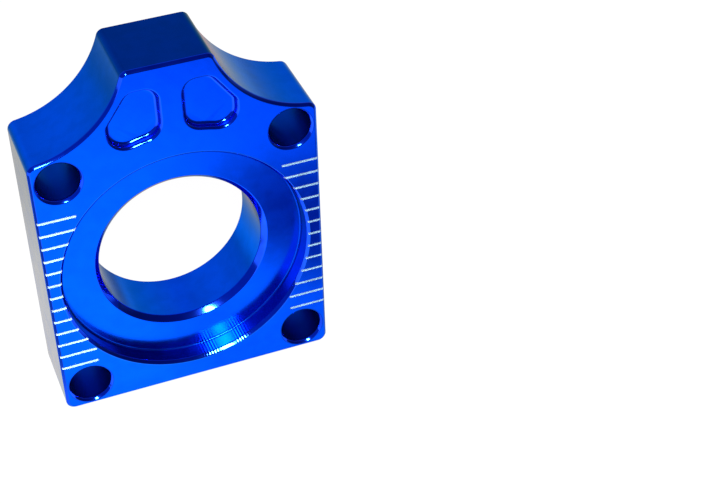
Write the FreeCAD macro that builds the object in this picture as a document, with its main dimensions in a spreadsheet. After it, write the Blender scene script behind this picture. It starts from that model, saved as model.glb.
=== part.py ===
import FreeCAD, Part
import math
import os

import Sketcher

# Rear axle adjuster block for a motorcycle swingarm, milled from one piece of aluminium bar.
# It stands on its base with the nose up. The marked face, with the washer recess, looks along -Y.
# The origin is at the middle of the base. All sizes are in millimetres.

# Driving dimensions: name, value, what it measures.
SIZES = [
    ("width", 42.3, "across the two sides"),
    ("thickness", 13.1, "from the marked face to the back face"),
    ("side_height", 44.95, "base to the corner where a side meets its shoulder"),
    ("nose_rise", 11.75, "shoulder corner to the flat on the nose"),
    ("nose_width", 13.0, "flat on the nose, which the adjuster bolt pushes on"),
    ("shoulder_radius", 16.4, "hollow shoulder on each side of the nose"),
    ("base_corner_radius", 1.4, "rounding of the two corners at the base"),
    ("shoulder_corner_radius", 1.4, "rounding of the corner between side and shoulder"),
    ("nose_corner_radius", 1.2, "rounding of the corner between shoulder and nose flat"),
    ("edge_break", 0.4, "45 degree chamfer round both faces"),
    ("axle_height", 22.4, "base to the axis of the axle bore"),
    ("bore_diameter", 25.1, "axle bore, for a 25 mm axle"),
    ("bore_front_chamfer", 0.8, "chamfer where the bore opens into the recess"),
    ("bore_back_chamfer", 0.4, "chamfer where the bore opens in the back face"),
    ("recess_diameter", 37.5, "round recess for the axle washer and nut"),
    ("recess_depth", 3.0, "marked face to the recess floor"),
    ("recess_chamfer", 0.45, "chamfer at the mouth of the recess"),
    ("recess_foot_radius", 0.3, "fillet where the recess wall meets its floor"),
    ("hole_diameter", 6.1, "four lightening holes near the corners"),
    ("hole_chamfer", 0.4, "chamfer at both ends of each lightening hole"),
    ("hole_wall", 1.05, "from each lightening hole to the side, and to the base or the shoulder"),
    ("pocket_depth", 1.05, "two shallow pockets milled in the nose"),
    ("pocket_rib", 3.6, "rib left between the two pockets"),
    ("pocket_top_wall", 3.55, "nose flat down to the top of a pocket"),
    ("pocket_shoulder_wall", 1.8, "shoulder to both ends of the side that follows it"),
    ("pocket_bottom_wall", 3.93, "rim of the recess to the bottom of a pocket, which follows it"),
    ("pocket_side_share", 0.387, "end of the outer side as a share of the pocket's height"),
    ("pocket_top_inner_radius", 2.05, "corner of a pocket beside the rib, at the top"),
    ("pocket_top_outer_radius", 2.0, "corner where the top meets the slanted side"),
    ("pocket_side_radius", 1.0, "corner where the slanted side meets the outer side"),
    ("pocket_bottom_outer_radius", 2.6, "corner at the bottom, away from the rib"),
    ("pocket_bottom_inner_radius", 2.5, "corner at the bottom, beside the rib"),
    ("pocket_rim_chamfer", 0.3, "edge break round each pocket"),
    ("pocket_foot_radius", 0.5, "fillet where a pocket wall meets its floor"),
    ("mark_count", 13, "engraved lines on each side of the recess"),
    ("mark_pitch", 2.25, "from one line to the next"),
    ("mark_drop", 14.0, "axis of the axle bore down to the lowest line"),
    ("mark_length", 5.85, "side face to the inner end of a full line"),
    ("mark_width", 0.38, "width of a line"),
    ("mark_depth", 0.2, "depth of a line"),
]

doc = FreeCAD.newDocument("axle_adjuster_block")
sheet = doc.addObject("Spreadsheet::Sheet", "sizes")
for row, (name, value, meaning) in enumerate(SIZES, start=1):
    sheet.set("A%d" % row, name)
    sheet.set("B%d" % row, str(value))
    sheet.set("C%d" % row, meaning)
    sheet.setAlias("B%d" % row, name)
doc.recompute()


def value_of(expression):
    """Value of an expression of the sheet's sizes, as a plain number."""
    return float(sheet.evalExpression(expression))


# Sketches and the dimensions that bind them to the sheet

START = 1
END = 2
CENTRE = 3
ORIGIN = (-1, 1)


def plane_of(body, role):
    """One of the body's own origin planes or axes."""
    return next(item for item in body.Origin.OriginFeatures if item.Role == role)


def new_sketch(body, name, role, offsets):
    """Sketch on an origin plane of the body, moved by the expressions in offsets."""
    sketch = body.newObject("Sketcher::SketchObject", name)
    sketch.AttachmentSupport = [(plane_of(body, role), "")]
    sketch.MapMode = "FlatFace"
    for direction, expression in offsets.items():
        sketch.setExpression("AttachmentOffset.Base." + direction, expression)
    return sketch


def marked_face_sketch(body, name):
    """Sketch on the marked face: its X is the block's X, and its Y is the height."""
    return new_sketch(body, name, "XZ_Plane", {"z": "sizes.thickness / 2"})


def section_sketch(body, name, across, height):
    """Sketch in a plane along Y and Z, through the axis of a bore at across and height."""
    return new_sketch(body, name, "YZ_Plane", {"y": height, "z": across})


def bind(sketch, kind, places, expression):
    """Add a dimension to the sketch and bind it to an expression of the sheet."""
    index = sketch.addConstraint(Sketcher.Constraint(kind, *places, value_of(expression)))
    sketch.setExpression("Constraints[%d]" % index, expression)


def place_point(sketch, point, x, y):
    """Fix a point of the sketch at the expressions x and y, measured from its origin."""
    bind(sketch, "DistanceX", ORIGIN + point, x)
    bind(sketch, "DistanceY", ORIGIN + point, y)


def arc_between(start, end, radius, hollow):
    """Arc that joins two points of a counterclockwise outline, hollow or bulging."""
    half = (end - start) / 2
    rise = math.sqrt(max(radius ** 2 - half.Length ** 2, 0))
    away = FreeCAD.Vector(half.y, -half.x, 0).normalize()
    if hollow:
        start, end = end, start
    else:
        away = -away
    centre = (start + end) / 2 + away * rise
    circle = Part.Circle(centre, FreeCAD.Vector(0, 0, 1), radius)
    first = math.atan2(start.y - centre.y, start.x - centre.x)
    last = math.atan2(end.y - centre.y, end.x - centre.x)
    return Part.ArcOfCircle(circle, first, last)


def closed_outline(sketch, corners, arcs):
    """Counterclockwise outline with every corner placed by expressions.

    corners is a list of (x, y). arcs gives, for the number of a side, its radius and
    whether it is hollow; the other sides are straight. Returns the number of each side.
    """
    points = [FreeCAD.Vector(value_of(x), value_of(y), 0) for x, y in corners]
    sides = []
    ends = []
    for number, start in enumerate(points):
        end = points[(number + 1) % len(points)]
        if number in arcs:
            radius, hollow = arcs[number]
            side = sketch.addGeometry(arc_between(start, end, value_of(radius), hollow), False)
            ends.append(((side, END), (side, START)) if hollow else ((side, START), (side, END)))
        else:
            side = sketch.addGeometry(Part.LineSegment(start, end), False)
            ends.append(((side, START), (side, END)))
        sides.append(side)
    for number, (x, y) in enumerate(corners):
        sketch.addConstraint(Sketcher.Constraint("Coincident", *ends[number - 1][1], *ends[number][0]))
        place_point(sketch, ends[number][0], x, y)
    return sides


# Solid features, and the choice of their faces and edges

SAME_PLACE = 0.001


def new_feature(body, kind, name, **settings):
    """Feature of the body. A text setting that names sizes is bound as an expression."""
    feature = body.newObject(kind, name)
    for key, value in settings.items():
        if isinstance(value, str) and "sizes." in value:
            feature.setExpression(key, value)
        else:
            setattr(feature, key, value)
    body.Tip = feature
    doc.recompute()
    return feature


def names_of(shapes, kind, chosen):
    """Names, such as Edge3, of the shapes for which chosen(shape) is true."""
    return ["%s%d" % (kind, number) for number, shape in enumerate(shapes, start=1) if chosen(shape)]


def runs_through(edge, x, z):
    """Whether the edge runs through the thickness at x and z."""
    centre = edge.CenterOfMass
    along = edge.tangentAt(edge.FirstParameter)
    return math.hypot(centre.x - x, centre.z - z) < SAME_PLACE and abs(along.y) > 0.99


def is_flat_at(shape, y):
    """Whether the face or edge lies flat at this y."""
    box = shape.BoundBox
    return abs(box.YMin - y) < SAME_PLACE and abs(box.YMax - y) < SAME_PLACE


block = doc.addObject("PartDesign::Body", "axle_block")
block.Label = "axle_block"

# Blank: the block's outline, cut from bar, with its corners rounded and both faces chamfered

HALF_WIDTH = "sizes.width / 2"
HALF_NOSE = "sizes.nose_width / 2"
NOSE_HEIGHT = "(sizes.side_height + sizes.nose_rise)"
MARKED_FACE = "-sizes.thickness / 2"
BACK_FACE = "sizes.thickness / 2"

outline = marked_face_sketch(block, "block_outline")
outline_sides = closed_outline(
    outline,
    [
        ("-" + HALF_WIDTH, "0"),
        (HALF_WIDTH, "0"),
        (HALF_WIDTH, "sizes.side_height"),
        (HALF_NOSE, NOSE_HEIGHT),
        ("-" + HALF_NOSE, NOSE_HEIGHT),
        ("-" + HALF_WIDTH, "sizes.side_height"),
    ],
    {2: ("sizes.shoulder_radius", True), 4: ("sizes.shoulder_radius", True)},
)
for shoulder in (outline_sides[2], outline_sides[4]):
    bind(outline, "Radius", (shoulder,), "sizes.shoulder_radius")
blank = new_feature(
    block, "PartDesign::Pad", "blank", Profile=outline, Reversed=True, Length="sizes.thickness"
)

CORNERS = [
    ("base_corners", HALF_WIDTH, "0", "sizes.base_corner_radius"),
    ("shoulder_corners", HALF_WIDTH, "sizes.side_height", "sizes.shoulder_corner_radius"),
    ("nose_corners", HALF_NOSE, NOSE_HEIGHT, "sizes.nose_corner_radius"),
]
rounded = blank
for name, x, z, radius in CORNERS:
    across, height = value_of(x), value_of(z)
    edges = names_of(
        rounded.Shape.Edges,
        "Edge",
        lambda edge: runs_through(edge, across, height) or runs_through(edge, -across, height),
    )
    rounded = new_feature(block, "PartDesign::Fillet", name, Base=(rounded, edges), Radius=radius)

face_heights = [value_of(MARKED_FACE), value_of(BACK_FACE)]
both_faces = names_of(
    rounded.Shape.Faces, "Face", lambda face: any(is_flat_at(face, y) for y in face_heights)
)
new_feature(
    block, "PartDesign::Chamfer", "face_edge_breaks", Base=(rounded, both_faces), Size="sizes.edge_break"
)

# The right shoulder's arc, from which pockets and upper holes keep their walls: its centre

HALF_ACROSS = "((%s - %s) / 2)" % (HALF_WIDTH, HALF_NOSE)
HALF_RISE = "(sizes.nose_rise / 2)"
HALF_CHORD = "sqrt(%s ^ 2 + %s ^ 2)" % (HALF_ACROSS, HALF_RISE)
TO_CENTRE = "(sqrt(sizes.shoulder_radius ^ 2 - %s ^ 2) / %s)" % (HALF_CHORD, HALF_CHORD)
SHOULDER_X = "(%s + %s + %s * %s)" % (HALF_NOSE, HALF_ACROSS, TO_CENTRE, HALF_RISE)
SHOULDER_Z = "(%s - %s + %s * %s)" % (NOSE_HEIGHT, HALF_RISE, TO_CENTRE, HALF_ACROSS)


def beside_shoulder(wall, height):
    """Expression for the x, at this height, that is a wall away from the right shoulder."""
    reach = "(sizes.shoulder_radius + %s)" % wall
    return "(%s - sqrt(%s ^ 2 - (%s - %s) ^ 2))" % (SHOULDER_X, reach, SHOULDER_Z, height)


def below_shoulder(wall, across):
    """Expression for the height, at this x, that is a wall away from the right shoulder."""
    reach = "(sizes.shoulder_radius + %s)" % wall
    return "(%s - sqrt(%s ^ 2 - (%s - %s) ^ 2))" % (SHOULDER_Z, reach, SHOULDER_X, across)


# Nose pockets: one on each side of the middle rib, with a side that follows the shoulder

RECESS_RIM = "(sizes.recess_diameter / 2 + sizes.recess_chamfer)"
POCKET_TOP = "(%s - sizes.pocket_top_wall)" % NOSE_HEIGHT
POCKET_ARC = "(%s + sizes.pocket_bottom_wall)" % RECESS_RIM
POCKET_BOTTOM = "(sizes.axle_height + %s)" % POCKET_ARC
POCKET_CORNER = "(%s + sizes.pocket_side_share * (%s - %s))" % (POCKET_BOTTOM, POCKET_TOP, POCKET_BOTTOM)
POCKET_INNER = "(sizes.pocket_rib / 2)"
POCKET_SHOULDER = beside_shoulder("sizes.pocket_shoulder_wall", POCKET_TOP)
POCKET_OUTER = beside_shoulder("sizes.pocket_shoulder_wall", POCKET_CORNER)


def on_pocket_arc(across):
    """Expression for the height, at this x, of the arc that both pockets end on."""
    return "(sizes.axle_height + sqrt(%s ^ 2 - %s ^ 2))" % (POCKET_ARC, across)


RIGHT_POCKET = [
    (POCKET_INNER, on_pocket_arc(POCKET_INNER)),
    (POCKET_OUTER, on_pocket_arc(POCKET_OUTER)),
    (POCKET_OUTER, POCKET_CORNER),
    (POCKET_SHOULDER, POCKET_TOP),
    (POCKET_INNER, POCKET_TOP),
]
LEFT_POCKET = [("-" + x, y) for x, y in reversed(RIGHT_POCKET)]

pocket_outlines = marked_face_sketch(block, "pocket_outlines")
right_sides = closed_outline(pocket_outlines, RIGHT_POCKET, {0: (POCKET_ARC, True)})
left_sides = closed_outline(pocket_outlines, LEFT_POCKET, {3: (POCKET_ARC, True)})
for pocket_arc in (right_sides[0], left_sides[3]):
    bind(pocket_outlines, "Radius", (pocket_arc,), POCKET_ARC)
nose_pockets = new_feature(
    block, "PartDesign::Pocket", "nose_pockets", Profile=pocket_outlines, Length="sizes.pocket_depth"
)

# Each rounding is limited to a share of the shorter side beside it, so that two of them fit on a side.
POCKET_ROUNDINGS = [
    ("pocket_bottom_inner", "sizes.pocket_bottom_inner_radius", 0.5),
    ("pocket_bottom_outer", "sizes.pocket_bottom_outer_radius", 0.55),
    ("pocket_side", "sizes.pocket_side_radius", 0.4),
    ("pocket_top_outer", "sizes.pocket_top_outer_radius", 0.5),
    ("pocket_top_inner", "sizes.pocket_top_inner_radius", 0.5),
]


def pocket_side(number):
    """Expression for the length of the right pocket's side that starts at this corner."""
    x, z = RIGHT_POCKET[number]
    next_x, next_z = RIGHT_POCKET[(number + 1) % len(RIGHT_POCKET)]
    return "sqrt((%s - %s) ^ 2 + (%s - %s) ^ 2)" % (next_x, x, next_z, z)


pocket_corners = nose_pockets
for number, (name, radius, share) in enumerate(POCKET_ROUNDINGS):
    before = pocket_side((number - 1) % len(RIGHT_POCKET))
    limited = "min(%s; %s * %s; %s * %s)" % (radius, share, before, share, pocket_side(number))
    across, height = value_of(RIGHT_POCKET[number][0]), value_of(RIGHT_POCKET[number][1])
    edges = names_of(
        pocket_corners.Shape.Edges,
        "Edge",
        lambda edge: runs_through(edge, across, height) or runs_through(edge, -across, height),
    )
    pocket_corners = new_feature(
        block, "PartDesign::Fillet", name, Base=(pocket_corners, edges), Radius=limited
    )


def pocket_edges(feature, y):
    """Edges of both pockets that lie flat at this y."""
    left, right = value_of(POCKET_INNER), value_of(POCKET_OUTER)
    low, high = value_of(RIGHT_POCKET[1][1]), value_of(POCKET_TOP)

    def chosen(edge):
        centre = edge.CenterOfMass
        inside = left - SAME_PLACE < abs(centre.x) < right + SAME_PLACE
        return inside and low - SAME_PLACE < centre.z < high + SAME_PLACE and is_flat_at(edge, y)

    return names_of(feature.Shape.Edges, "Edge", chosen)


pocket_floor = value_of(MARKED_FACE + " + sizes.pocket_depth")
pocket_feet = new_feature(
    block,
    "PartDesign::Fillet",
    "pocket_feet",
    Base=(pocket_corners, pocket_edges(pocket_corners, pocket_floor)),
    Radius="sizes.pocket_foot_radius",
)
new_feature(
    block,
    "PartDesign::Chamfer",
    "pocket_rims",
    Base=(pocket_feet, pocket_edges(pocket_feet, value_of(MARKED_FACE))),
    Size="sizes.pocket_rim_chamfer",
)

# Axle seat: recess and bore are turned in one setting, so one section makes both.
# The chamfers at the two mouths run on past the face, as far again as they are deep.

BORE = "sizes.bore_diameter / 2"
RECESS = "sizes.recess_diameter / 2"
FLOOR = MARKED_FACE + " + sizes.recess_depth"
BEFORE_RECESS = MARKED_FACE + " - sizes.recess_chamfer"
BEHIND_BORE = BACK_FACE + " + sizes.bore_back_chamfer"

seat_section = section_sketch(block, "axle_seat_section", "0", "sizes.axle_height")
seat_sides = closed_outline(
    seat_section,
    [
        (BEFORE_RECESS, "0"),
        (BEHIND_BORE, "0"),
        (BEHIND_BORE, BORE + " + 2 * sizes.bore_back_chamfer"),
        (BACK_FACE + " - sizes.bore_back_chamfer", BORE),
        (FLOOR + " + sizes.bore_front_chamfer", BORE),
        (FLOOR, BORE + " + sizes.bore_front_chamfer"),
        (FLOOR, RECESS + " - sizes.recess_foot_radius"),
        (FLOOR + " - sizes.recess_foot_radius", RECESS),
        (MARKED_FACE + " + sizes.recess_chamfer", RECESS),
        (BEFORE_RECESS, RECESS + " + 2 * sizes.recess_chamfer"),
    ],
    {6: ("sizes.recess_foot_radius", False)},
)
bind(seat_section, "Radius", (seat_sides[6],), "sizes.recess_foot_radius")
axle_seat = new_feature(
    block,
    "PartDesign::Groove",
    "axle_seat",
    Profile=seat_section,
    ReferenceAxis=(seat_section, ["H_Axis"]),
    Angle=360,
)

# Lightening holes: one is drilled through and chamfered at both ends, then repeated

HOLE = "sizes.hole_diameter / 2"
HOLE_MOUTH = HOLE + " + 2 * sizes.hole_chamfer"
HOLE_MARGIN = "(sizes.hole_wall + sizes.hole_diameter / 2)"
HOLE_ACROSS = "(%s - %s)" % (HALF_WIDTH, HOLE_MARGIN)
UPPER_HOLE = below_shoulder(HOLE_MARGIN, HOLE_ACROSS)

hole_section = section_sketch(block, "lightening_hole_section", "-" + HOLE_ACROSS, HOLE_MARGIN)
closed_outline(
    hole_section,
    [
        (MARKED_FACE + " - sizes.hole_chamfer", "0"),
        (BACK_FACE + " + sizes.hole_chamfer", "0"),
        (BACK_FACE + " + sizes.hole_chamfer", HOLE_MOUTH),
        (BACK_FACE + " - sizes.hole_chamfer", HOLE),
        (MARKED_FACE + " + sizes.hole_chamfer", HOLE),
        (MARKED_FACE + " - sizes.hole_chamfer", HOLE_MOUTH),
    ],
    {},
)
lightening_hole = new_feature(
    block,
    "PartDesign::Groove",
    "lightening_hole",
    Profile=hole_section,
    ReferenceAxis=(hole_section, ["H_Axis"]),
    Angle=360,
)
lightening_holes = new_feature(
    block,
    "PartDesign::LinearPattern",
    "lightening_holes",
    Originals=[lightening_hole],
    Direction=(plane_of(block, "X_Axis"), [""]),
    Length="2 * " + HOLE_ACROSS,
    Occurrences=2,
    Direction2=(plane_of(block, "Z_Axis"), [""]),
    Length2=UPPER_HOLE + " - " + HOLE_MARGIN,
    Occurrences2=2,
)

# Engraved lines: a pair is cut in from just outside the side faces, and repeated up the block

MARK_START = "(%s + sizes.mark_width)" % HALF_WIDTH
MARK_END = "(%s - sizes.mark_length + sizes.mark_width / 2)" % HALF_WIDTH
MARK_HEIGHT = "sizes.axle_height - sizes.mark_drop"
MARK_LOW = MARK_HEIGHT + " - sizes.mark_width / 2"
MARK_HIGH = MARK_HEIGHT + " + sizes.mark_width / 2"

mark_outline = marked_face_sketch(block, "mark_outline")
left_mark = closed_outline(
    mark_outline,
    [
        ("-" + MARK_START, MARK_LOW),
        ("-" + MARK_END, MARK_LOW),
        ("-" + MARK_END, MARK_HIGH),
        ("-" + MARK_START, MARK_HIGH),
    ],
    {1: ("sizes.mark_width / 2", False)},
)
right_mark = closed_outline(
    mark_outline,
    [
        (MARK_START, MARK_HIGH),
        (MARK_END, MARK_HIGH),
        (MARK_END, MARK_LOW),
        (MARK_START, MARK_LOW),
    ],
    {1: ("sizes.mark_width / 2", False)},
)
bind(mark_outline, "DistanceX", ORIGIN + (left_mark[1], CENTRE), "-" + MARK_END)
bind(mark_outline, "DistanceX", ORIGIN + (right_mark[1], CENTRE), MARK_END)
mark_pair = new_feature(
    block, "PartDesign::Pocket", "mark_pair", Profile=mark_outline, Length="sizes.mark_depth"
)
marks = new_feature(
    block,
    "PartDesign::LinearPattern",
    "marks",
    Originals=[mark_pair],
    Direction=(plane_of(block, "Z_Axis"), [""]),
    Length="sizes.mark_pitch * (sizes.mark_count - 1)",
    Occurrences="sizes.mark_count",
)

# Check of the document before anything is written

for item in doc.Objects:
    if "Invalid" in item.State or "Error" in item.State:
        raise RuntimeError("%s failed: %s" % (item.Name, item.State))
for sketch in (outline, pocket_outlines, seat_section, hole_section, mark_outline):
    if not sketch.FullyConstrained:
        raise RuntimeError("%s is not fully constrained" % sketch.Name)
for cut in (nose_pockets, axle_seat, lightening_hole, lightening_holes, mark_pair, marks):
    removed = cut.BaseFeature.Shape.Volume - cut.Shape.Volume
    print("%s removes %.3f mm3" % (cut.Name, removed))
    if removed <= 0:
        raise RuntimeError("%s removes nothing" % cut.Name)

shape = block.Shape
if shape.isNull() or not shape.isValid() or len(shape.Solids) != 1:
    raise RuntimeError("%s is not one valid solid" % block.Label)
os.makedirs("parts", exist_ok=True)
shape.exportStep("parts/%s.step" % block.Label)
print("%s: %.1f mm3, box %s" % (block.Label, shape.Volume, shape.BoundBox))
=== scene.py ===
import math

import bmesh
import bpy
from mathutils import Matrix, Vector


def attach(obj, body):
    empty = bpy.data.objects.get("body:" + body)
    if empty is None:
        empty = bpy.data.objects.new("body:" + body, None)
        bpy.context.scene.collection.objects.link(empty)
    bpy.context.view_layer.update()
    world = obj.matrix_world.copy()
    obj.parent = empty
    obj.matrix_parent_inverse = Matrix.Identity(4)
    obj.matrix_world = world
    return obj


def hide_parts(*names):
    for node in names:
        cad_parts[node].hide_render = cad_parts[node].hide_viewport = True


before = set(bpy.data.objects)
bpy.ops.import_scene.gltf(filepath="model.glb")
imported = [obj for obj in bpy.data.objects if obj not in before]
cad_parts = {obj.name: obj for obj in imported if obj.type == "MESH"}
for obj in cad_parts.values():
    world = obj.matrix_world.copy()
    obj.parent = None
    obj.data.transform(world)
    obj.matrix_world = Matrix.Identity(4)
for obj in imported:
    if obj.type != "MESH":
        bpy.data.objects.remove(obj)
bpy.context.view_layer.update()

# Blank
# The block is one piece of aluminium bar with its outline and hollow shoulders end milled, its
# edges broken at 45 degrees and tumbled, and a bright blue anodised finish over all of it. Sizes
# are in millimetres, from the middle of the base.

MM = 0.001
HALF_WIDTH = 21.15
THICKNESS = 13.1
FRONT = -THICKNESS / 2
BACK = THICKNESS / 2
SIDE_HEIGHT = 44.95
HALF_NOSE = 6.5
NOSE_HEIGHT = 56.7
SHOULDER_RADIUS = 16.4
CORNER_RADIUS = 1.4
NOSE_CORNER_RADIUS = 1.2
EDGE_BREAK = 0.4
TUMBLED_EDGE = 0.12

# Share of a side that its rounding may take: where one end is rounded, and where both are.
LONE_SHARE = 0.95
PAIRED_SHARE = 0.45
ROUNDING_STEPS = 5

# A face is a broken edge where its lesser run is more than this share of its greater one.
CHAMFER_SLANT = 0.3

BLUE = (0.0004, 0.088, 0.95, 1)
# The broken edges' blue has more red than the faces', so the lamp's glints on them turn white: a painted
# highlight tint.
GLINT_TINTED_EDGE_BLUE = (0.01, 0.075, 0.9, 1)
GRAZING_TINT = (0.5, 0.78, 0.45, 1)
MACHINED_ROUGHNESS = 0.2
EDGE_ROUGHNESS = 0.1
CLOUDS_PER_METRE = 450
NOISE_RANGE = (0.3, 0.7)
COLOUR_CHANGE = 0.06
SHINE_CHANGE = 0.07

# The nose flat is painted a darker blue, a painted shade on the top. It fades in below its edge.
NOSE_SHADE_BLUE = (0.0003, 0.021, 0.33, 1)
NOSE_SHADE_FADE_START = NOSE_HEIGHT - 1.3
NOSE_SHADE_FADE_END = NOSE_HEIGHT - 0.05

# The face mill swept the front and back in arcs about a point this far to the left of the base.
SWEEP_CENTRE = 60
FACE_LINES_PER_MM = 2.0
SIDE_LINES_PER_MM = 2.5
TOOL_LINE_RELIEF = 0.002

block = bmesh.new()
finishes = []


def link(tree, source, target):
    """Link an output to an input, or set the input where the source is a plain value."""
    if isinstance(source, bpy.types.NodeSocket):
        tree.links.new(source, target)
    else:
        target.default_value = source


def value(tree, operation, first, second=0.0):
    """Output of a Math node on sockets or numbers."""
    node = tree.nodes.new("ShaderNodeMath")
    node.operation = operation
    link(tree, first, node.inputs[0])
    link(tree, second, node.inputs[1])
    return node.outputs[0]


def remap(tree, source, low, high, to_low, to_high):
    """Output of a smooth Map Range node."""
    node = tree.nodes.new("ShaderNodeMapRange")
    node.interpolation_type = "SMOOTHSTEP"
    node.inputs["From Min"].default_value = low
    node.inputs["From Max"].default_value = high
    node.inputs["To Min"].default_value = to_low
    node.inputs["To Max"].default_value = to_high
    link(tree, source, node.inputs["Value"])
    return node.outputs["Result"]


def mixed(tree, share, first, second):
    """Mix of two colours."""
    node = tree.nodes.new("ShaderNodeMix")
    node.data_type = "RGBA"
    node.clamp_factor = True
    link(tree, share, node.inputs[0])
    link(tree, first, node.inputs[6])
    link(tree, second, node.inputs[7])
    return node.outputs[2]


def place(tree):
    """X, Y and Z outputs of the place on an object, in millimetres."""
    where = tree.nodes.new("ShaderNodeTexCoord")
    scaled = tree.nodes.new("ShaderNodeVectorMath")
    scaled.operation = "SCALE"
    scaled.inputs["Scale"].default_value = 1 / MM
    tree.links.new(where.outputs["Object"], scaled.inputs[0])
    split = tree.nodes.new("ShaderNodeSeparateXYZ")
    tree.links.new(scaled.outputs[0], split.inputs[0])
    return split.outputs


def distance(tree, across, along):
    """Output for the distance from a point, given both parts of the way to it."""
    squares = value(tree, "ADD", value(tree, "POWER", across, 2), value(tree, "POWER", along, 2))
    return value(tree, "SQRT", squares)


def new_group(name, inputs, outputs):
    """Shader node group with its input and output nodes. Sockets are (name, kind)."""
    group = bpy.data.node_groups.new(name, "ShaderNodeTree")
    for direction, sockets in (("INPUT", inputs), ("OUTPUT", outputs)):
        for socket, kind in sockets:
            group.interface.new_socket(socket, in_out=direction, socket_type="NodeSocket" + kind)
    return group, group.nodes.new("NodeGroupInput"), group.nodes.new("NodeGroupOutput")


def use_group(tree, group, settings):
    """Node that uses a group, with its inputs linked or set."""
    node = tree.nodes.new("ShaderNodeGroup")
    node.node_tree = group
    for name, source in settings.items():
        link(tree, source, node.inputs[name])
    return node


# Slight clouding of a surface, which varies both its colour and its shine.
clouding, given, made = new_group(
    "clouding",
    [("Colour", "Color"), ("Roughness", "Float")],
    [("Colour", "Color"), ("Roughness", "Float")],
)
where = clouding.nodes.new("ShaderNodeTexCoord")
clouds = clouding.nodes.new("ShaderNodeTexNoise")
clouds.inputs["Scale"].default_value = CLOUDS_PER_METRE
clouds.inputs["Detail"].default_value = 3
clouding.links.new(where.outputs["Object"], clouds.inputs["Vector"])
cloud = clouds.outputs["Fac"]
shade = clouding.nodes.new("ShaderNodeVectorMath")
shade.operation = "SCALE"
clouding.links.new(given.outputs["Colour"], shade.inputs[0])
colour_change = remap(clouding, cloud, *NOISE_RANGE, 1 - COLOUR_CHANGE, 1 + COLOUR_CHANGE)
clouding.links.new(colour_change, shade.inputs["Scale"])
clouding.links.new(shade.outputs[0], made.inputs["Colour"])
shine_change = remap(clouding, cloud, *NOISE_RANGE, 1 - SHINE_CHANGE, 1 + SHINE_CHANGE)
clouded = value(clouding, "MULTIPLY", given.outputs["Roughness"], shine_change)
clouding.links.new(clouded, made.inputs["Roughness"])

# Fine lines that a tool leaves, at a distance across them in millimetres.
tool_lines, given, made = new_group(
    "tool_lines", [("Across", "Float"), ("Per mm", "Float")], [("Height", "Float")]
)
lines = tool_lines.nodes.new("ShaderNodeTexNoise")
lines.noise_dimensions = "1D"
lines.inputs["Scale"].default_value = 1
lines.inputs["Detail"].default_value = 2
along = value(tool_lines, "MULTIPLY", given.outputs["Across"], given.outputs["Per mm"])
tool_lines.links.new(along, lines.inputs["W"])
tool_lines.links.new(lines.outputs["Fac"], made.inputs["Height"])


def metal(name):
    """Plain metal: its tree, its shader and its number, the next one among the finishes."""
    material = bpy.data.materials.new(name)
    material.use_nodes = True
    tree = material.node_tree
    shader = tree.nodes["Principled BSDF"]
    shader.inputs["Metallic"].default_value = 1
    finishes.append(material)
    return tree, shader, len(finishes) - 1


def anodise(tree, shader, colour, roughness):
    """Give a metal its dyed and sealed surface."""
    shader.inputs["Specular Tint"].default_value = GRAZING_TINT
    dyed = use_group(tree, clouding, {"Colour": colour, "Roughness": roughness})
    tree.links.new(dyed.outputs["Colour"], shader.inputs["Base Color"])
    tree.links.new(dyed.outputs["Roughness"], shader.inputs["Roughness"])


def bump(tree, shader, height, depth):
    """Relief on a shader from a height of 0 to 1, this many millimetres deep."""
    node = tree.nodes.new("ShaderNodeBump")
    node.inputs["Strength"].default_value = 1
    node.inputs["Distance"].default_value = depth * MM
    link(tree, height, node.inputs["Height"])
    tree.links.new(node.outputs["Normal"], shader.inputs["Normal"])


tree, shader, MILLED_FACE = metal("milled_face")
anodise(tree, shader, BLUE, MACHINED_ROUGHNESS)
spot = place(tree)
sweep = distance(tree, value(tree, "ADD", spot["X"], SWEEP_CENTRE), spot["Z"])
marks = use_group(tree, tool_lines, {"Across": sweep, "Per mm": FACE_LINES_PER_MM})
bump(tree, shader, marks.outputs["Height"], TOOL_LINE_RELIEF)

tree, shader, MILLED_SIDE = metal("milled_side")
spot = place(tree)
# Painted shade: the blue darkens towards the nose flat.
nose_shade = remap(tree, spot["Z"], NOSE_SHADE_FADE_START, NOSE_SHADE_FADE_END, 0, 1)
anodise(tree, shader, mixed(tree, nose_shade, BLUE, NOSE_SHADE_BLUE), MACHINED_ROUGHNESS)
along = value(tree, "SUBTRACT", value(tree, "ABSOLUTE", spot["X"]), spot["Z"])
marks = use_group(tree, tool_lines, {"Across": along, "Per mm": SIDE_LINES_PER_MM})
bump(tree, shader, marks.outputs["Height"], TOOL_LINE_RELIEF)

tree, shader, BROKEN_EDGE = metal("broken_edge")
anodise(tree, shader, GLINT_TINTED_EDGE_BLUE, EDGE_ROUGHNESS)


def on_arc(centre, radius, first, last, steps):
    """Points of an arc, from the angle first to the angle last, in degrees."""
    points = []
    for step in range(steps + 1):
        angle = math.radians(first + (last - first) * step / steps)
        points.append((centre[0] + radius * math.cos(angle), centre[1] + radius * math.sin(angle)))
    return points


def direction(start, end):
    """Angle of the line from start to end, in degrees from 0 to 360."""
    return math.degrees(math.atan2(end[1] - start[1], end[0] - start[0])) % 360


def shoulder_centre():
    """Centre of the right shoulder's arc, which joins the nose to the side."""
    nose = Vector((HALF_NOSE, NOSE_HEIGHT))
    side = Vector((HALF_WIDTH, SIDE_HEIGHT))
    half = (side - nose) / 2
    away = Vector((-half.y, half.x)).normalized()
    return tuple((nose + side) / 2 + away * math.sqrt(SHOULDER_RADIUS**2 - half.length**2))


SHOULDER = shoulder_centre()


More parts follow.
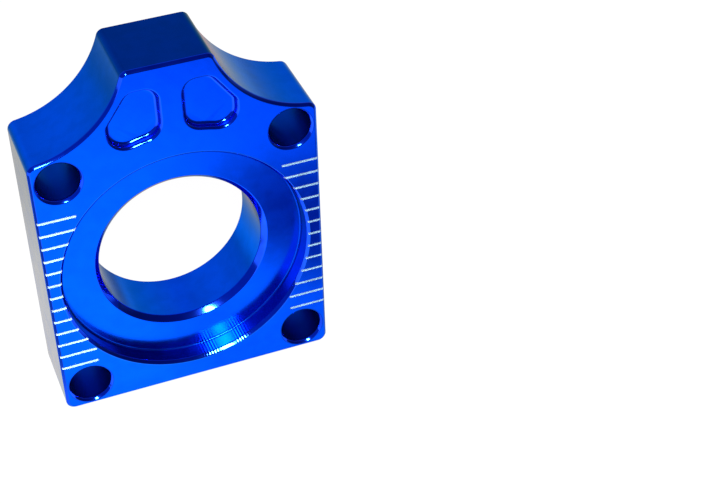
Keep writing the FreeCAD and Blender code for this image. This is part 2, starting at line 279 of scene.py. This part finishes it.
def block_outline(inset):
    """Right half of the outline and its mirror image, set in from the sides, counterclockwise."""
    side_corner_x = HALF_WIDTH - CORNER_RADIUS
    below = math.sqrt((SHOULDER_RADIUS + CORNER_RADIUS) ** 2 - (SHOULDER[0] - side_corner_x) ** 2)
    side_corner = (side_corner_x, SHOULDER[1] - below)
    nose_corner_z = NOSE_HEIGHT - NOSE_CORNER_RADIUS
    beside = math.sqrt((SHOULDER_RADIUS + NOSE_CORNER_RADIUS) ** 2 - (SHOULDER[1] - nose_corner_z) ** 2)
    nose_corner = (SHOULDER[0] - beside, nose_corner_z)
    low = direction(SHOULDER, side_corner)
    high = direction(SHOULDER, nose_corner)
    right = on_arc((side_corner_x, CORNER_RADIUS), CORNER_RADIUS - inset, -90, 0, steps=10)
    right += on_arc(side_corner, CORNER_RADIUS - inset, 0, low - 180, steps=10)
    right += on_arc(SHOULDER, SHOULDER_RADIUS + inset, low, high, steps=60)[1:-1]
    right += on_arc(nose_corner, NOSE_CORNER_RADIUS - inset, high - 180, 90, steps=10)
    return right + [(-x, z) for x, z in reversed(right)]


def softened(profile, reach=TUMBLED_EDGE):
    """A profile of (across, y) points with its inner corners rounded, over a reach from each."""
    points = [Vector(point) for point in profile]
    soft = [points[0]]
    for number in range(1, len(points) - 1):
        before, corner, after = points[number - 1 : number + 2]
        share_before = LONE_SHARE if number == 1 else PAIRED_SHARE
        share_after = LONE_SHARE if number == len(points) - 2 else PAIRED_SHARE
        near = min(reach, (before - corner).length * share_before, (after - corner).length * share_after)
        start = corner + (before - corner).normalized() * near
        end = corner + (after - corner).normalized() * near
        for step in range(ROUNDING_STEPS + 1):
            share = step / ROUNDING_STEPS
            soft.append(start.lerp(corner, share).lerp(corner.lerp(end, share), share))
    soft.append(points[-1])
    return soft


def ring(points, y):
    """Closed ring of vertices at the (x, z) points."""
    return [block.verts.new((x * MM, y * MM, z * MM)) for x, z in points]


def skin(rings, profile, finish):
    """Faces between each ring and the next. Where the profile slants, they are a broken edge."""
    for number, (near, far) in enumerate(zip(rings, rings[1:])):
        run = Vector(profile[number + 1]) - Vector(profile[number])
        lesser, greater = sorted((abs(run.x), abs(run.y)))
        for first in range(len(near)):
            second = (first + 1) % len(near)
            face = block.faces.new((near[first], near[second], far[second], far[first]))
            face.material_index = BROKEN_EDGE if lesser > CHAMFER_SLANT * greater else finish


outline_edge = softened(
    [
        (EDGE_BREAK + TUMBLED_EDGE, FRONT),
        (EDGE_BREAK, FRONT),
        (0, FRONT + EDGE_BREAK),
        (0, BACK - EDGE_BREAK),
        (EDGE_BREAK, BACK),
        (EDGE_BREAK + TUMBLED_EDGE, BACK),
    ]
)
outline_rings = [ring(block_outline(inset), y) for inset, y in outline_edge]
skin(outline_rings, outline_edge, MILLED_SIDE)
front_openings = [outline_rings[0]]
back_openings = [outline_rings[-1]]

# Axle seat
# Bore and washer recess are turned in one setting, which leaves fine rings and, on the recess wall
# and its mouth, slight chatter. The bore opens through chamfers; the wall's foot has a small fillet.

AXLE = (0, 22.4)
BORE_RADIUS = 12.55
BORE_FRONT_CHAMFER = 0.8
BORE_BACK_CHAMFER = 0.4
RECESS_RADIUS = 18.75
RECESS_CHAMFER = 0.45
RECESS_DEPTH = 3.0
RECESS_FLOOR = FRONT + RECESS_DEPTH
RECESS_FOOT = 0.3
SEAT_STEPS = 240

# The recess wall and its fillet are painted a darker blue than the faces, painted shade inside the
# recess. The wall's blue also has more red and green, which whitens the lamp's streak on it: a painted
# highlight tint.
RECESS_WALL_SHADE_BLUE = (0.006, 0.12, 0.6, 1)
WALL_ROUGHNESS = 0.13
RECESS_FILLET_SHADE_BLUE = (0.001, 0.05, 0.6, 1)
FILLET_ROUGHNESS = 0.24
TURNED_LINES_PER_MM = 2.5

# The chatter's zone is in radians about the axle. It starts on both sides of its middle, is at its
# full depth a little farther on, and ends beyond that.
CHATTER_WAVES = 265
CHATTER_DEPTH = 0.008
CHATTER_MIDDLE = -1.31
CHATTER_START = 0.06
CHATTER_FULL = 0.13
CHATTER_END = 0.26

tree, shader, TURNED = metal("turned")
anodise(tree, shader, BLUE, MACHINED_ROUGHNESS)
spot = place(tree)
radius = distance(tree, spot["X"], value(tree, "SUBTRACT", spot["Z"], AXLE[1]))
inward = value(tree, "SUBTRACT", radius, spot["Y"])
marks = use_group(tree, tool_lines, {"Across": inward, "Per mm": TURNED_LINES_PER_MM})
bump(tree, shader, marks.outputs["Height"], TOOL_LINE_RELIEF)

# Chatter across the ring near the bottom, where the light catches it.
chatter, given, made = new_group("chatter", [("Waves a turn", "Float")], [("Height", "Float")])
spot = place(chatter)
turn = value(chatter, "ARCTAN2", value(chatter, "SUBTRACT", spot["Z"], AXLE[1]), spot["X"])
wave = value(chatter, "SINE", value(chatter, "MULTIPLY", turn, given.outputs["Waves a turn"]))
away = value(chatter, "ABSOLUTE", value(chatter, "SUBTRACT", turn, CHATTER_MIDDLE))
rising = remap(chatter, away, CHATTER_START, CHATTER_FULL, 0, 1)
fading = remap(chatter, away, CHATTER_FULL, CHATTER_END, 1, 0)
strength = value(chatter, "MULTIPLY", rising, fading)
chatter.links.new(value(chatter, "MULTIPLY", wave, strength), made.inputs["Height"])


def chattered(name, colour, roughness):
    """Anodised finish with chatter in it."""
    tree, shader, finish = metal(name)
    anodise(tree, shader, colour, roughness)
    waves = use_group(tree, chatter, {"Waves a turn": CHATTER_WAVES})
    bump(tree, shader, waves.outputs["Height"], CHATTER_DEPTH)
    return finish


RECESS_WALL = chattered("recess_wall", RECESS_WALL_SHADE_BLUE, WALL_ROUGHNESS)
RECESS_MOUTH = chattered("recess_mouth", GLINT_TINTED_EDGE_BLUE, EDGE_ROUGHNESS)
RECESS_FILLET = chattered("recess_fillet", RECESS_FILLET_SHADE_BLUE, FILLET_ROUGHNESS)


def turned(centre, profile, finish, steps):
    """Skin about an axis along Y from a profile of (radius, y), open at the front and the back."""
    rings = [ring(on_arc(centre, radius, 0, 360, steps)[:-1], y) for radius, y in profile]
    skin(rings, profile, finish)
    front_openings.append(rings[0])
    back_openings.append(rings[-1])


foot_centre = (RECESS_RADIUS - RECESS_FOOT, RECESS_FLOOR - RECESS_FOOT)
foot = on_arc(foot_centre, RECESS_FOOT, 0, 90, steps=8)
recess_mouth = RECESS_RADIUS + RECESS_CHAMFER
bore_mouth = BORE_RADIUS + BORE_BACK_CHAMFER
recess_edge = softened(
    [
        (recess_mouth + TUMBLED_EDGE, FRONT),
        (recess_mouth, FRONT),
        (RECESS_RADIUS, FRONT + RECESS_CHAMFER),
        foot[0],
    ]
)
bore_edges = softened(
    [
        foot[-1],
        (BORE_RADIUS + BORE_FRONT_CHAMFER, RECESS_FLOOR),
        (BORE_RADIUS, RECESS_FLOOR + BORE_FRONT_CHAMFER),
        (BORE_RADIUS, BACK - BORE_BACK_CHAMFER),
        (bore_mouth, BACK),
        (bore_mouth + TUMBLED_EDGE, BACK),
    ]
)
turned(AXLE, recess_edge[:-1] + foot + bore_edges[1:], TURNED, SEAT_STEPS)

# The recess wall, its mouth and its fillet take their own materials, with chatter in all three and
# painted shade on the wall and the fillet.
for face in block.faces:
    middle = face.calc_center_median() / MM
    from_axle = math.hypot(middle.x, middle.z - AXLE[1])
    if RECESS_RADIUS - RECESS_FOOT < from_axle < recess_mouth + TUMBLED_EDGE:
        if middle.y > foot[0][1]:
            face.material_index = RECESS_FILLET
        elif face.material_index == BROKEN_EDGE:
            face.material_index = RECESS_MOUTH
        else:
            face.material_index = RECESS_WALL

# Lightening holes
# Four holes are drilled right through near the corners. Their walls are rougher and painted a
# darker blue, a painted shade inside the holes, and their mouths are chamfered and tumbled round.

HOLE_RADIUS = 3.05
HOLE_WALL = 1.05
HOLE_CHAMFER = 0.4
HOLE_SOFT_EDGE = 0.25
HOLE_MARGIN = 0.1
HOLE_STEPS = 96
HOLE_SHADE_BLUE = (0.0004, 0.038, 0.45, 1)
DRILLED_ROUGHNESS = 0.33

tree, shader, DRILLED = metal("drilled")
anodise(tree, shader, HOLE_SHADE_BLUE, DRILLED_ROUGHNESS)


def below_shoulder(across, wall):
    """Height, at this x, that is this far from the right shoulder."""
    return SHOULDER[1] - math.sqrt((SHOULDER_RADIUS + wall) ** 2 - (SHOULDER[0] - across) ** 2)


hole_mouth = HOLE_RADIUS + HOLE_CHAMFER
hole_profile = softened(
    [
        (hole_mouth + HOLE_MARGIN, FRONT),
        (hole_mouth, FRONT),
        (HOLE_RADIUS, FRONT + HOLE_CHAMFER),
        (HOLE_RADIUS, BACK - HOLE_CHAMFER),
        (hole_mouth, BACK),
        (hole_mouth + HOLE_MARGIN, BACK),
    ],
    HOLE_SOFT_EDGE,
)
from_edge = HOLE_WALL + HOLE_RADIUS
hole_x = HALF_WIDTH - from_edge
for side in (-1, 1):
    for height in (from_edge, below_shoulder(hole_x, from_edge)):
        turned((side * hole_x, height), hole_profile, DRILLED, HOLE_STEPS)

# Nose pockets
# Two shallow pockets are end milled in the marked face, one on each side of a middle rib. They end
# on an arc about the axle bore, and their slanted sides keep a wall to the shoulders.

POCKET_RIB = 3.6
POCKET_TOP_WALL = 3.55
POCKET_BOTTOM_WALL = 3.93
POCKET_SHOULDER_WALL = 1.8
POCKET_SIDE_SHARE = 0.387
POCKET_DEPTH = 1.05
POCKET_RIM = 0.3
POCKET_SOFT_EDGE = 0.14
POCKET_FOOT = 0.5
BOTTOM_INNER_RADIUS = 2.5
BOTTOM_OUTER_RADIUS = 2.6
SIDE_RADIUS = 1.0
TOP_OUTER_RADIUS = 2.0
TOP_INNER_RADIUS = 2.05

pocket_inner = POCKET_RIB / 2
pocket_top = NOSE_HEIGHT - POCKET_TOP_WALL
pocket_arc = recess_mouth + POCKET_BOTTOM_WALL
pocket_floor = FRONT + POCKET_DEPTH


def beside_shoulder(height):
    """Place at this height that is the pocket's wall away from the right shoulder."""
    reach = SHOULDER_RADIUS + POCKET_SHOULDER_WALL
    return Vector((SHOULDER[0] - math.sqrt(reach**2 - (SHOULDER[1] - height) ** 2), height))


def above_arc(across, radius):
    """Centre, at this x, of a rounding that touches the arc about the axle from outside."""
    return (across, AXLE[1] + math.sqrt((pocket_arc + radius) ** 2 - across**2))


def rounding(corner, radius, first, last):
    """Centre of the rounding of a corner whose sides face outward at these two angles."""
    half = math.radians(last - first) / 2
    middle = math.radians(first + last) / 2
    return corner - Vector((math.cos(middle), math.sin(middle))) * radius / math.cos(half)


arc_top = AXLE[1] + pocket_arc
side_top = beside_shoulder(arc_top + POCKET_SIDE_SHARE * (pocket_top - arc_top))
slant_top = beside_shoulder(pocket_top)
slant = direction(side_top, slant_top) - 90
bottom_inner = above_arc(pocket_inner + BOTTOM_INNER_RADIUS, BOTTOM_INNER_RADIUS)
bottom_outer = above_arc(side_top.x - BOTTOM_OUTER_RADIUS, BOTTOM_OUTER_RADIUS)
side_rounding = rounding(side_top, SIDE_RADIUS, 0, slant)
top_outer = rounding(slant_top, TOP_OUTER_RADIUS, slant, 90)
top_inner = rounding(Vector((pocket_inner, pocket_top)), TOP_INNER_RADIUS, 90, 180)


def pocket_outline(inset):
    """The right pocket's outline, set in from its walls, counterclockwise."""
    to_axle = direction(bottom_inner, AXLE)
    points = on_arc(bottom_inner, BOTTOM_INNER_RADIUS - inset, 180, to_axle, steps=10)
    first = direction(AXLE, bottom_inner)
    last = direction(AXLE, bottom_outer)
    points += on_arc(AXLE, pocket_arc + inset, first, last, steps=12)[1:-1]
    to_axle = direction(bottom_outer, AXLE)
    points += on_arc(bottom_outer, BOTTOM_OUTER_RADIUS - inset, to_axle, 360, steps=10)
    points += on_arc(side_rounding, SIDE_RADIUS - inset, 0, slant, steps=6)
    points += on_arc(top_outer, TOP_OUTER_RADIUS - inset, slant, 90, steps=8)
    points += on_arc(top_inner, TOP_INNER_RADIUS - inset, 90, 180, steps=10)
    return points


def fill(rings, finish):
    """Flat face inside the first ring, with the other rings as openings."""
    edges = []
    for around in rings:
        for first, second in zip(around, around[1:] + around[:1]):
            edges.append(block.edges.get((first, second)))
    for item in bmesh.ops.triangle_fill(block, edges=edges, use_beauty=True)["geom"]:
        if isinstance(item, bmesh.types.BMFace):
            item.material_index = finish


pocket_foot = on_arc((POCKET_FOOT, pocket_floor - POCKET_FOOT), POCKET_FOOT, 180, 90, steps=8)
pocket_rim = softened(
    [
        (-POCKET_RIM - POCKET_SOFT_EDGE, FRONT),
        (-POCKET_RIM, FRONT),
        (0, FRONT + POCKET_RIM),
        pocket_foot[0],
    ],
    POCKET_SOFT_EDGE,
)
pocket_profile = pocket_rim[:-1] + pocket_foot
for side in (-1, 1):
    rings = []
    for inset, y in pocket_profile:
        rings.append(ring([(side * x, z) for x, z in pocket_outline(inset)], y))
    skin(rings, pocket_profile, MILLED_SIDE)
    fill([rings[-1]], MILLED_FACE)
    front_openings.append(rings[0])

fill(front_openings, MILLED_FACE)
fill(back_openings, MILLED_FACE)
bmesh.ops.recalc_face_normals(block, faces=block.faces)

# Engraved lines
# Thirteen lines on each side are cut through the anodising into bare aluminium, to set both ends
# of the axle alike. They run in from the sides, and the recess cuts most of them short.

MARK_COUNT = 13
MARK_PITCH = 2.25
MARK_DROP = 14.0
MARK_LENGTH = 5.85
MARK_WIDTH = 0.38
MARK_DEPTH = 0.2
CUTTER_SPARE = 1
BARE_METAL = (0.44, 0.57, 0.66, 1)
BARE_ROUGHNESS = (0.4, 0.5)
CUT_LINES_PER_MM = 9.0
CUT_LINE_RELIEF = 0.003

tree, shader, BARE = metal("bare_aluminium")
cloudy = use_group(tree, clouding, {"Colour": BARE_METAL})
tree.links.new(cloudy.outputs["Colour"], shader.inputs["Base Color"])
marks = use_group(tree, tool_lines, {"Across": place(tree)["X"], "Per mm": CUT_LINES_PER_MM})
rubbed = remap(tree, marks.outputs["Height"], *NOISE_RANGE, *BARE_ROUGHNESS)
tree.links.new(rubbed, shader.inputs["Roughness"])
bump(tree, shader, marks.outputs["Height"], CUT_LINE_RELIEF)

cutter = bmesh.new()
half_mark = MARK_WIDTH / 2
mark_end = HALF_WIDTH - MARK_LENGTH + half_mark
for side in (-1, 1):
    for number in range(MARK_COUNT):
        height = AXLE[1] - MARK_DROP + number * MARK_PITCH
        section = on_arc((mark_end, height), half_mark, 90, 270, steps=12)
        section.append((HALF_WIDTH + CUTTER_SPARE, height - half_mark))
        section.append((HALF_WIDTH + CUTTER_SPARE, height + half_mark))
        outside = []
        for x, z in section:
            outside.append(cutter.verts.new((side * x * MM, (FRONT - CUTTER_SPARE) * MM, z * MM)))
        grown = bmesh.ops.extrude_face_region(cutter, geom=[cutter.faces.new(outside)])
        inside = [item for item in grown["geom"] if isinstance(item, bmesh.types.BMVert)]
        bmesh.ops.translate(cutter, verts=inside, vec=(0, (CUTTER_SPARE + MARK_DEPTH) * MM, 0))
bmesh.ops.recalc_face_normals(cutter, faces=cutter.faces)
cutter_mesh = bpy.data.meshes.new("engraving_cutter")
cutter.to_mesh(cutter_mesh)
cutter_mesh.materials.append(finishes[BARE])
engraving = bpy.data.objects.new("engraving_cutter", cutter_mesh)
bpy.context.scene.collection.objects.link(engraving)

# Finished block
# The surfaces made so far become one mesh, the lines are cut out of it, and it takes the place of
# the plain block. Flat faces shade flat, and the rounded edges between them shade round.

SHARP_ANGLE = 30

mesh = bpy.data.meshes.new("chain_adjuster_block")
block.to_mesh(mesh)
for material in finishes:
    mesh.materials.append(material)
body = bpy.data.objects.new("chain_adjuster_block", mesh)
bpy.context.scene.collection.objects.link(body)
cut = body.modifiers.new("engraved_lines", "BOOLEAN")
cut.operation = "DIFFERENCE"
cut.solver = "EXACT"
cut.object = engraving
cut.material_mode = "TRANSFER"
evaluated = body.evaluated_get(bpy.context.evaluated_depsgraph_get())
finished = bpy.data.meshes.new_from_object(evaluated)
body.modifiers.clear()
body.data = finished
bpy.data.objects.remove(engraving)
finished.shade_smooth()
finished.set_sharp_from_angle(angle=math.radians(SHARP_ANGLE))
even = body.modifiers.new("even_shading", "WEIGHTED_NORMAL")
even.keep_sharp = True

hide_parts("axle_block")
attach(body, "root")

# Paper
# A white sheet under the block, with places in millimetres. The camera sees it white, with the
# block's faint shadow; in the metal it glows with painted light, brightest just before the block,
# reddish behind it, and dimmer with painted shade at both sides and towards the front right.

PAPER_REACH = 3.0
PAPER_DROP = 0.05
PAPER_GREY = (0.05, 0.05, 0.05, 1)
PAPER_STRENGTH = 2
PAPER_WHITE = (0.486, 0.486, 0.486, 1)
BLACK = (0, 0, 0, 1)
PAINTED_DARK_BLUE = (0.01, 0.015, 0.1, 1)
PAINTED_DARK_PATCH = (33, -38)
PAINTED_DARK_PATCH_CORE = 8
PAINTED_DARK_PATCH_REACH = 31

floor_mesh = bpy.data.meshes.new("paper")
corners = [(-PAPER_REACH, -PAPER_REACH, 0), (PAPER_REACH, -PAPER_REACH, 0)]
corners += [(PAPER_REACH, PAPER_REACH, 0), (-PAPER_REACH, PAPER_REACH, 0)]
floor_mesh.from_pydata(corners, [], [(0, 1, 2, 3)])
floor = bpy.data.objects.new("paper", floor_mesh)
bpy.context.scene.collection.objects.link(floor)
floor.location.z = -PAPER_DROP * MM

paper = bpy.data.materials.new("white_paper")
paper.use_nodes = True
tree = paper.node_tree
shader = tree.nodes["Principled BSDF"]
shader.inputs["Base Color"].default_value = PAPER_GREY
shader.inputs["Roughness"].default_value = 1
shader.inputs["Specular IOR Level"].default_value = 0
shader.inputs["Emission Strength"].default_value = PAPER_STRENGTH
floor_mesh.materials.append(paper)


def ramp(tree, position, low, high, stops):
    """Colour at a position, from stops of (position, colour), between low and high."""
    node = tree.nodes.new("ShaderNodeValToRGB")
    span = tree.nodes.new("ShaderNodeMapRange")
    span.inputs["From Min"].default_value = low
    span.inputs["From Max"].default_value = high
    link(tree, position, span.inputs["Value"])
    tree.links.new(span.outputs["Result"], node.inputs[0])
    elements = node.color_ramp.elements
    while len(elements) < len(stops):
        elements.new(0.5)
    for element, (at, colour) in zip(elements, stops):
        element.position = (at - low) / (high - low)
        element.color = (*colour, 1)
    return node.outputs["Color"]


# In front of the block a painted pool of light falls off from the back left to the front right,
# and close to the block, at the right and the left, a painted shadow makes it a little dimmer.
spot = place(tree)
before = ramp(
    tree,
    value(tree, "SUBTRACT", spot["X"], spot["Y"]),
    -20,
    420,
    [
        (-18, (0.6, 0.6, 0.62)),
        (-2, (0.82, 0.82, 0.83)),
        (7, (0.83, 0.83, 0.84)),
        (45, (0.7, 0.7, 0.79)),
        (68, (0.63, 0.63, 0.74)),
        (84, (0.57, 0.57, 0.7)),
        (96, (0.44, 0.44, 0.62)),
        (118, (0.32, 0.32, 0.54)),
        (135, (0.22, 0.22, 0.4)),
        (180, (0.06, 0.06, 0.1)),
        (400, (0.03, 0.03, 0.04)),
    ],
)
at_right = remap(tree, spot["X"], -10, 6, 0, 1)
painted_shadow_share = remap(tree, spot["Y"], -26, -12, 0, 0.35)
before = mixed(tree, value(tree, "MULTIPLY", at_right, painted_shadow_share), before, BLACK)
at_left = remap(tree, spot["X"], -34, -20, 0.75, 0)
painted_shadow_share = remap(tree, spot["Y"], -25, -15, 0, 1)
before = mixed(tree, value(tree, "MULTIPLY", at_left, painted_shadow_share), before, BLACK)

# Behind the block it is warmer, darker behind it and to its right with a painted shadow of the
# block, and a little dimmer farther back.
behind = ramp(
    tree,
    spot["X"],
    -120,
    80,
    [
        (-120, (0.5, 0.3, 0.27)),
        (-40, (0.75, 0.52, 0.47)),
        (-24, (0.88, 0.6, 0.57)),
        (-2, (0.62, 0.41, 0.43)),
        (27, (0.5, 0.2, 0.2)),
        (80, (0.85, 0.52, 0.5)),
    ],
)
behind = mixed(tree, remap(tree, spot["Y"], 20, 60, 0, 0.2), behind, BLACK)
reflected = mixed(tree, remap(tree, spot["Y"], -12, 4, 0, 1), before, behind)

# A soft painted dark patch, which the metal shows as a painted dark reflection, lies at the front
# right and goes on to the right of its middle.
left_of_patch = value(tree, "MINIMUM", value(tree, "SUBTRACT", spot["X"], PAINTED_DARK_PATCH[0]), 0)
off_patch = distance(tree, left_of_patch, value(tree, "SUBTRACT", spot["Y"], PAINTED_DARK_PATCH[1]))
in_painted_patch = remap(tree, off_patch, PAINTED_DARK_PATCH_CORE, PAINTED_DARK_PATCH_REACH, 1, 0)
reflected = mixed(tree, in_painted_patch, reflected, PAINTED_DARK_BLUE)

rays = tree.nodes.new("ShaderNodeLightPath")
seen = mixed(tree, rays.outputs["Is Glossy Ray"], BLACK, reflected)
shown = mixed(tree, rays.outputs["Is Camera Ray"], seen, PAPER_WHITE)
tree.links.new(shown, shader.inputs["Emission Color"])

# Room
# Around the paper the metal mirrors grey-blue walls behind the block, warm and bright at the right,
# and on the side of the camera a dim, bluish room.

world = bpy.data.worlds.new("room")
bpy.context.scene.world = world
world.use_nodes = True
tree = world.node_tree
where = tree.nodes.new("ShaderNodeTexCoord")
split = tree.nodes.new("ShaderNodeSeparateXYZ")
tree.links.new(where.outputs["Generated"], split.inputs[0])
walls = ramp(
    tree,
    split.outputs["X"],
    -1,
    1,
    [
        (-1.0, (0.4, 0.5, 0.55)),
        (-0.6, (0.4, 0.56, 0.6)),
        (-0.4, (0.45, 0.63, 0.72)),
        (-0.1, (0.35, 0.56, 0.62)),
        (0.02, (0.3, 0.5, 0.6)),
        (0.2, (0.35, 0.52, 0.66)),
        (0.34, (1.2, 0.58, 0.62)),
        (0.6, (1.8, 0.68, 0.6)),
        (1.0, (1.6, 0.6, 0.5)),
    ],
)
camera_side = ramp(
    tree,
    split.outputs["X"],
    -1,
    1,
    [
        (-1, (0.03, 0.15, 0.36)),
        (-0.3, (0.03, 0.13, 0.38)),
        (0.1, (0.02, 0.06, 0.2)),
        (1, (0.03, 0.04, 0.08)),
    ],
)
to_back = remap(tree, split.outputs["Y"], -0.45, 0.35, 0, 1)
around = mixed(tree, to_back, camera_side, walls)
tree.links.new(around, tree.nodes["Background"].inputs["Color"])
tree.nodes["Background"].inputs["Strength"].default_value = 1

# Flash
# A small lamp just above the camera, aimed at the middle of the block. It gives the shadow and the
# glints on chamfers, recess wall and pockets.

FLASH_PLACE = Vector((-0.0693, -0.323, 0.316))
FLASH_AIM = Vector((0, 0, 0.028))
FLASH_WIDTH = 0.062
FLASH_HEIGHT = 0.118
FLASH_WATTS = 3.5

flash = bpy.data.lights.new("flash", "AREA")
flash.shape = "ELLIPSE"
flash.size = FLASH_WIDTH
flash.size_y = FLASH_HEIGHT
flash.energy = FLASH_WATTS
lamp = bpy.data.objects.new("flash", flash)
bpy.context.scene.collection.objects.link(lamp)
lamp.location = FLASH_PLACE
lamp.rotation_euler = (FLASH_AIM - FLASH_PLACE).to_track_quat("-Z", "Y").to_euler()

# Camera
# It looks down on the marked face from the front left, turned and tilted as the photo's camera
# was. Its place is in metres and its angles are in degrees.

SENSOR_WIDTH = 36
LENS = 83.356
NEAREST_SEEN = 0.01
CAMERA_PLACE = (-0.0440751, -0.1940279, 0.1726737)
TURNED_RIGHT = 20.56866
TILTED_DOWN = 38.00482
ROLLED = 1.58967

camera_data = bpy.data.cameras.new("camera")
camera_data.sensor_width = SENSOR_WIDTH
camera_data.lens = LENS
camera_data.clip_start = NEAREST_SEEN
camera = bpy.data.objects.new("camera", camera_data)
bpy.context.scene.collection.objects.link(camera)
bpy.context.scene.camera = camera
turned_right = Matrix.Rotation(math.radians(-TURNED_RIGHT), 4, "Z")
tilted_down = Matrix.Rotation(math.radians(90 - TILTED_DOWN), 4, "X")
rolled = Matrix.Rotation(math.radians(-ROLLED), 4, "Z")
camera.matrix_world = Matrix.Translation(CAMERA_PLACE) @ turned_right @ tilted_down @ rolled
bpy.context.scene.view_settings.view_transform = "Standard"
